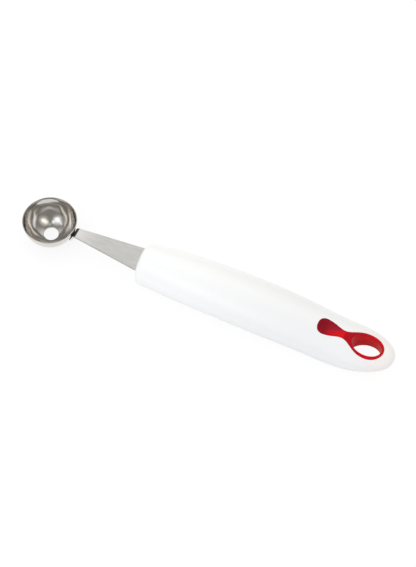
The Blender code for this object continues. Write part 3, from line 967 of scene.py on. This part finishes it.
def white_plastic(sizes):
    """White moulded plastic with faint clouds and painted shade: a little darker towards the loop, and darker
    and warmer at the tip.
    """
    finish = Finish("white_plastic", 0.0, sizes.roughness)
    clouds = finish.noise(finish.place, 60.0, 3.0)
    along = finish.parts(finish.place)["X"]
    # Painted shade: darker towards the loop, and darker and warmer at the tip.
    shade_to_loop = finish.ease(along, HANDLE_LOW.x, LOOP_LOW.x + 5 * MM)
    clouded = finish.calc("MULTIPLY_ADD", clouds, 0.1, shade_to_loop)
    body = finish.mix(clouded, sizes.plastic, sizes.shaded_rear_plastic)
    shade_at_tip = finish.ease(along, LOOP_LOW.x + 15 * MM, HANDLE_HIGH.x)
    finish.set("Base Color", finish.mix(shade_at_tip, body, sizes.shaded_tip_plastic))
    finish.vary_gloss(clouds, 0.94, 1.1)
    finish.fine_skin()
    return finish.material


def red_plastic(sizes, waist):
    """Red moulded plastic with painted shade and light: painted shade in the hollow's far half, as of a cast
    shadow, and painted light on its ramp, in the hole and towards the tip.

    The hollow's halves meet on a line that leaves the waist's far corner, the place that is given.
    """
    finish = Finish("red_plastic", 0.0, sizes.roughness)
    finish.set("Specular IOR Level", 0.04)
    clouds = finish.noise(finish.place, 150.0, 3.0)
    to_waist = finish.parts(finish.vector("SUBTRACT", waist, finish.place))
    # Painted shadow: the hollow's far half, beyond a line from the waist's far corner, is painted shade, and
    # the ramp next to the waist is painted light.
    ray = finish.calc("ARCTAN2", to_waist["Y"], to_waist["X"])
    near_half = finish.ease(ray, math.radians(8), math.radians(18))
    near_waist = finish.ease(to_waist["X"], 15 * MM, 3 * MM)
    ramp = finish.calc("MULTIPLY", near_half, near_waist)
    in_hollow = finish.mix(ramp, sizes.painted_shade, sizes.lit)

    # The ring's top falls towards the tip, and the hole's wall lies below it. The wall and the ring towards
    # the tip are painted lighter: painted light.
    below_land = finish.calc("MULTIPLY_ADD", to_waist["X"], sizes.land_fall, to_waist["Z"])
    wall = finish.ease(below_land, 0.5 * MM, 2.5 * MM)
    to_tip = finish.ease(to_waist["X"], -6 * MM, -18 * MM)
    bright = finish.calc("MULTIPLY_ADD", to_tip, 0.4, wall)
    ring = finish.mix(bright, sizes.plastic, sizes.lit)
    before_waist = finish.ease(to_waist["X"], -0.4 * MM, 0.8 * MM)
    finish.set("Base Color", finish.mix(before_waist, ring, in_hollow))
    finish.vary_gloss(clouds, 0.9, 1.15)
    finish.fine_skin()
    return finish.material


# Stage


def seen_directly(nodes):
    """1 for rays from the camera, off gloss and through glass, which all see the white backdrop."""
    path = nodes.add("LightPath").outputs
    either = nodes.calc("MAXIMUM", path["Is Camera Ray"], path["Is Glossy Ray"])
    return nodes.calc("MAXIMUM", either, path["Is Transmission Ray"])


def floor_finish():
    """Pale floor: where it is seen it glows nearly white and shows the tool's soft shadow.

    The shadow is deeper round the bowl, where the floor glows less and takes more light. In its bounce
    the floor is plain and pale.
    """
    material = bpy.data.materials.new("floor")
    nodes = Nodes(material)
    tree_nodes = nodes.tree.nodes
    tree_nodes.remove(tree_nodes["Principled BSDF"])
    along = nodes.parts(nodes.add("TexCoord").outputs["Object"])["X"]
    past_bowl = nodes.ease(along, -85 * MM, -30 * MM)
    strength = nodes.calc("MULTIPLY_ADD", past_bowl, 0.12, 0.80)
    glow = nodes.add("Emission", {"Color": WHITE, "Strength": strength})
    tint = nodes.mix(past_bowl, 0.21 * WHITE, 0.09 * WHITE)
    lit = nodes.add("BsdfDiffuse", {"Color": tint})
    shown = nodes.add("AddShader", {0: glow.outputs[0], 1: lit.outputs[0]})
    bounce = nodes.add("BsdfDiffuse", {"Color": 0.8 * WHITE})
    sockets = {0: seen_directly(nodes), 1: bounce.outputs[0], 2: shown.outputs[0]}
    mixed = nodes.add("MixShader", sockets).outputs[0]
    nodes.give(tree_nodes["Material Output"].inputs["Surface"], mixed)
    return material


def add_floor(sizes):
    """A square floor just under the tool."""
    half = sizes.floor_size / 2
    side = np.array([-half, half])
    floor = add_surface("floor", [grid(side[:, None], side, -FLOOR_DROP)], floor_finish())


def toward(azimuth, elevation):
    """Unit vector from the tool at an angle round Z, counted from +X, and an angle above level."""
    azimuth = math.radians(azimuth)
    elevation = math.radians(elevation)
    level = math.cos(elevation)
    return Vector((level * math.cos(azimuth), level * math.sin(azimuth), math.sin(elevation)))


def face(thing, centre, back, distance):
    """Puts a lamp or the camera at a distance from a place, in a direction, so that it faces the place."""
    thing.location = centre + back * distance
    thing.rotation_mode = "QUATERNION"
    thing.rotation_quaternion = back.to_track_quat("Z", "Y")


def add_lamp(sizes):
    """A round lamp at the left that lights matt surfaces and leaves its window to show in gloss.

    Its power gives the wanted light at the tool: face brightness times its solid angle over pi.
    """
    face_brightness = sizes.lamp_light * (2 * sizes.lamp_distance / sizes.lamp_size) ** 2
    light = bpy.data.lights.new("left_lamp", "AREA")
    light.shape = "DISK"
    light.size = sizes.lamp_size
    light.energy = face_brightness * math.pi * sizes.lamp_size**2
    lamp = add_object("left_lamp", light)
    lamp.visible_glossy = False
    face(lamp, Vector(), toward(*LAMP_TOWARD), sizes.lamp_distance)


def window(nodes, place, azimuth, elevation, wide, tall, light, softness=1.0):
    """Light of a patch of the room in one direction, with its half width and half height in radians.

    The softness is the share of the way from its edge to its middle over which it comes up.
    """
    turned = {
        "Vector": place,
        "Location": toward(azimuth, elevation),
        "Rotation": (0.0, -math.radians(elevation), math.radians(azimuth)),
        "Scale": (1.0, wide, tall),
    }
    local = nodes.add("Mapping", turned, vector_type="TEXTURE").outputs["Vector"]
    core = nodes.add("TexGradient", {"Vector": local}, gradient_type="SPHERICAL").outputs["Fac"]
    sockets = {0: light, "Scale": nodes.ease(core, 0.0, softness)}
    return nodes.add("VectorMath", sockets, operation="SCALE").outputs["Vector"]


def set_room(sizes):
    """The room: white to the camera, even light on matt surfaces, and in gloss dark with patches of light.

    The patches are a pale wall behind the tool, some sky, and a soft window at the camera's left and right.
    """
    world = bpy.data.worlds.new("room")
    bpy.context.scene.world = world
    nodes = Nodes(world)
    path = nodes.add("LightPath").outputs
    place = nodes.add("TexCoord").outputs["Generated"]
    height = nodes.parts(place)["Z"]
    gloss = nodes.mix(nodes.ease(height, 0.1, 0.5), DIM_LOW, DIM_HIGH)
    left = sizes.left_window * COOL
    right = sizes.right_window * WARM

    # Azimuth and elevation in degrees, half width, half height, light, and softness if not 1.
    for patch in (
        (115, 56, 1.3, 0.6, sizes.wall * COOL),
        (-53, 74, 0.28, 0.16, sizes.sky * COOL),
        (-116, 45, 0.54, 0.52, left),
        (-111, 47, 0.29, 0.23, 0.6 * left, 0.5),
        (-143, 42, 0.2, 0.14, 0.5 * left, 0.5),
        (-97, 62, 0.15, 0.12, 0.8 * left, 0.5),
        (-15, 47, 0.5, 0.5, right),
        (-15, 48, 0.2, 0.2, right, 0.4),
        (-23, 61, 0.22, 0.14, right, 0.4),
    ):
        gloss = nodes.vector("ADD", gloss, window(nodes, place, *patch))
    behind = nodes.measure("DOT_PRODUCT", place, toward(*BACK_TOWARD))
    to_back = nodes.remap(behind, -1.0, 1.0)
    even = nodes.mix(to_back, sizes.front_light * FRONT_TINT, sizes.back_light * BACK_TINT)
    inside = nodes.mix(path["Is Diffuse Ray"], gloss, even)
    shown = nodes.mix(path["Is Camera Ray"], inside, WHITE)
    nodes.give(nodes.tree.nodes["Background"].inputs["Color"], shown)


def add_camera(sizes):
    """The camera: turned round Z from the front, raised, and aimed at the middle of the tool."""
    data = bpy.data.cameras.new("camera")
    data.lens = sizes.lens
    data.clip_end = CAMERA_REACH
    camera = add_object("camera", data)
    back = toward(math.degrees(sizes.azimuth) - 90, math.degrees(sizes.elevation))
    face(camera, CAMERA_AIM, back, sizes.distance)
    bpy.context.scene.camera = camera


# Operators


class MELONBALLER_OT_bowl(bpy.types.Operator):
    """Build the pressed steel bowl"""

    bl_idname = "melon_baller.bowl"
    bl_label = "Bowl"

    def execute(self, context):
        sizes = context.scene.melon_baller.bowl
        finish = polished_steel(sizes, context.scene.melon_baller.neck.weld_tint_and_shade)
        add_piece("steel_bowl", bowl_patches(sizes), finish, "bowl")
        return {"FINISHED"}


class MELONBALLER_OT_neck(bpy.types.Operator):
    """Build the stamped steel neck with its tang"""

    bl_idname = "melon_baller.neck"
    bl_label = "Neck"

    def execute(self, context):
        settings = context.scene.melon_baller
        patches = neck_patches(settings.neck, settings.bowl)
        finish = satin_steel(settings.neck, BOWL_X + settings.bowl.radius + settings.neck.standoff)
        add_piece("steel_neck", patches, finish, "neck")
        return {"FINISHED"}


class MELONBALLER_OT_handle(bpy.types.Operator):
    """Build the white handle with the loop's bed"""

    bl_idname = "melon_baller.handle"
    bl_label = "Handle"

    def execute(self, context):
        settings = context.scene.melon_baller
        patches = handle_patches(HandleSkin(settings.handle), LoopOutline(settings.loop), settings.loop)
        add_piece("white_handle", patches, white_plastic(settings.handle), "handle")
        return {"FINISHED"}


class MELONBALLER_OT_loop(bpy.types.Operator):
    """Build the red hanging loop"""

    bl_idname = "melon_baller.loop"
    bl_label = "Hanging loop"

    def execute(self, context):
        settings = context.scene.melon_baller
        skin = HandleSkin(settings.handle)
        outline = LoopOutline(settings.loop)
        far_corner = float(outline.half_width(outline.waist))
        waist = (outline.waist, far_corner, float(skin.upper(outline.waist, 0.0)))
        finish = red_plastic(settings.loop, waist)
        add_piece("red_loop", loop_patches(skin, outline), finish, "hanging_loop")
        return {"FINISHED"}


class MELONBALLER_OT_stage(bpy.types.Operator):
    """Set up the floor, the lamps, the room and the camera"""

    bl_idname = "melon_baller.stage"
    bl_label = "Stage"

    def execute(self, context):
        sizes = context.scene.melon_baller.stage
        context.scene.view_settings.view_transform = "Standard"
        add_floor(sizes)
        add_lamp(sizes)
        set_room(sizes)
        add_camera(sizes)
        return {"FINISHED"}


class MELONBALLER_PT_panel(bpy.types.Panel):
    """Lists the steps that build the melon baller"""

    bl_idname = "MELONBALLER_PT_panel"
    bl_label = "Melon baller"
    bl_space_type = "VIEW_3D"
    bl_region_type = "UI"
    bl_category = "Melon baller"

    def draw(self, context):
        for step in STEPS:
            self.layout.operator(step.bl_idname)


STEPS = (
    MELONBALLER_OT_bowl,
    MELONBALLER_OT_neck,
    MELONBALLER_OT_handle,
    MELONBALLER_OT_loop,
    MELONBALLER_OT_stage,
)
GROUPS = (BowlSizes, NeckSizes, HandleSizes, LoopSizes, StageSizes, MelonBallerSettings)
CLASSES = GROUPS + STEPS + (MELONBALLER_PT_panel,)


def register():
    """Registers the classes and the scene's settings."""
    for cls in CLASSES:
        bpy.utils.register_class(cls)
    bpy.types.Scene.melon_baller = PointerProperty(type=MelonBallerSettings)


def unregister():
    """Removes the scene's settings and the classes."""
    del bpy.types.Scene.melon_baller
    for cls in reversed(CLASSES):
        bpy.utils.unregister_class(cls)


def main():
    """Builds every piece and the stage."""
    register()
    bpy.ops.melon_baller.bowl()
    bpy.ops.melon_baller.neck()
    bpy.ops.melon_baller.handle()
    bpy.ops.melon_baller.loop()
    bpy.ops.melon_baller.stage()


if __name__ == "__main__":
    main()
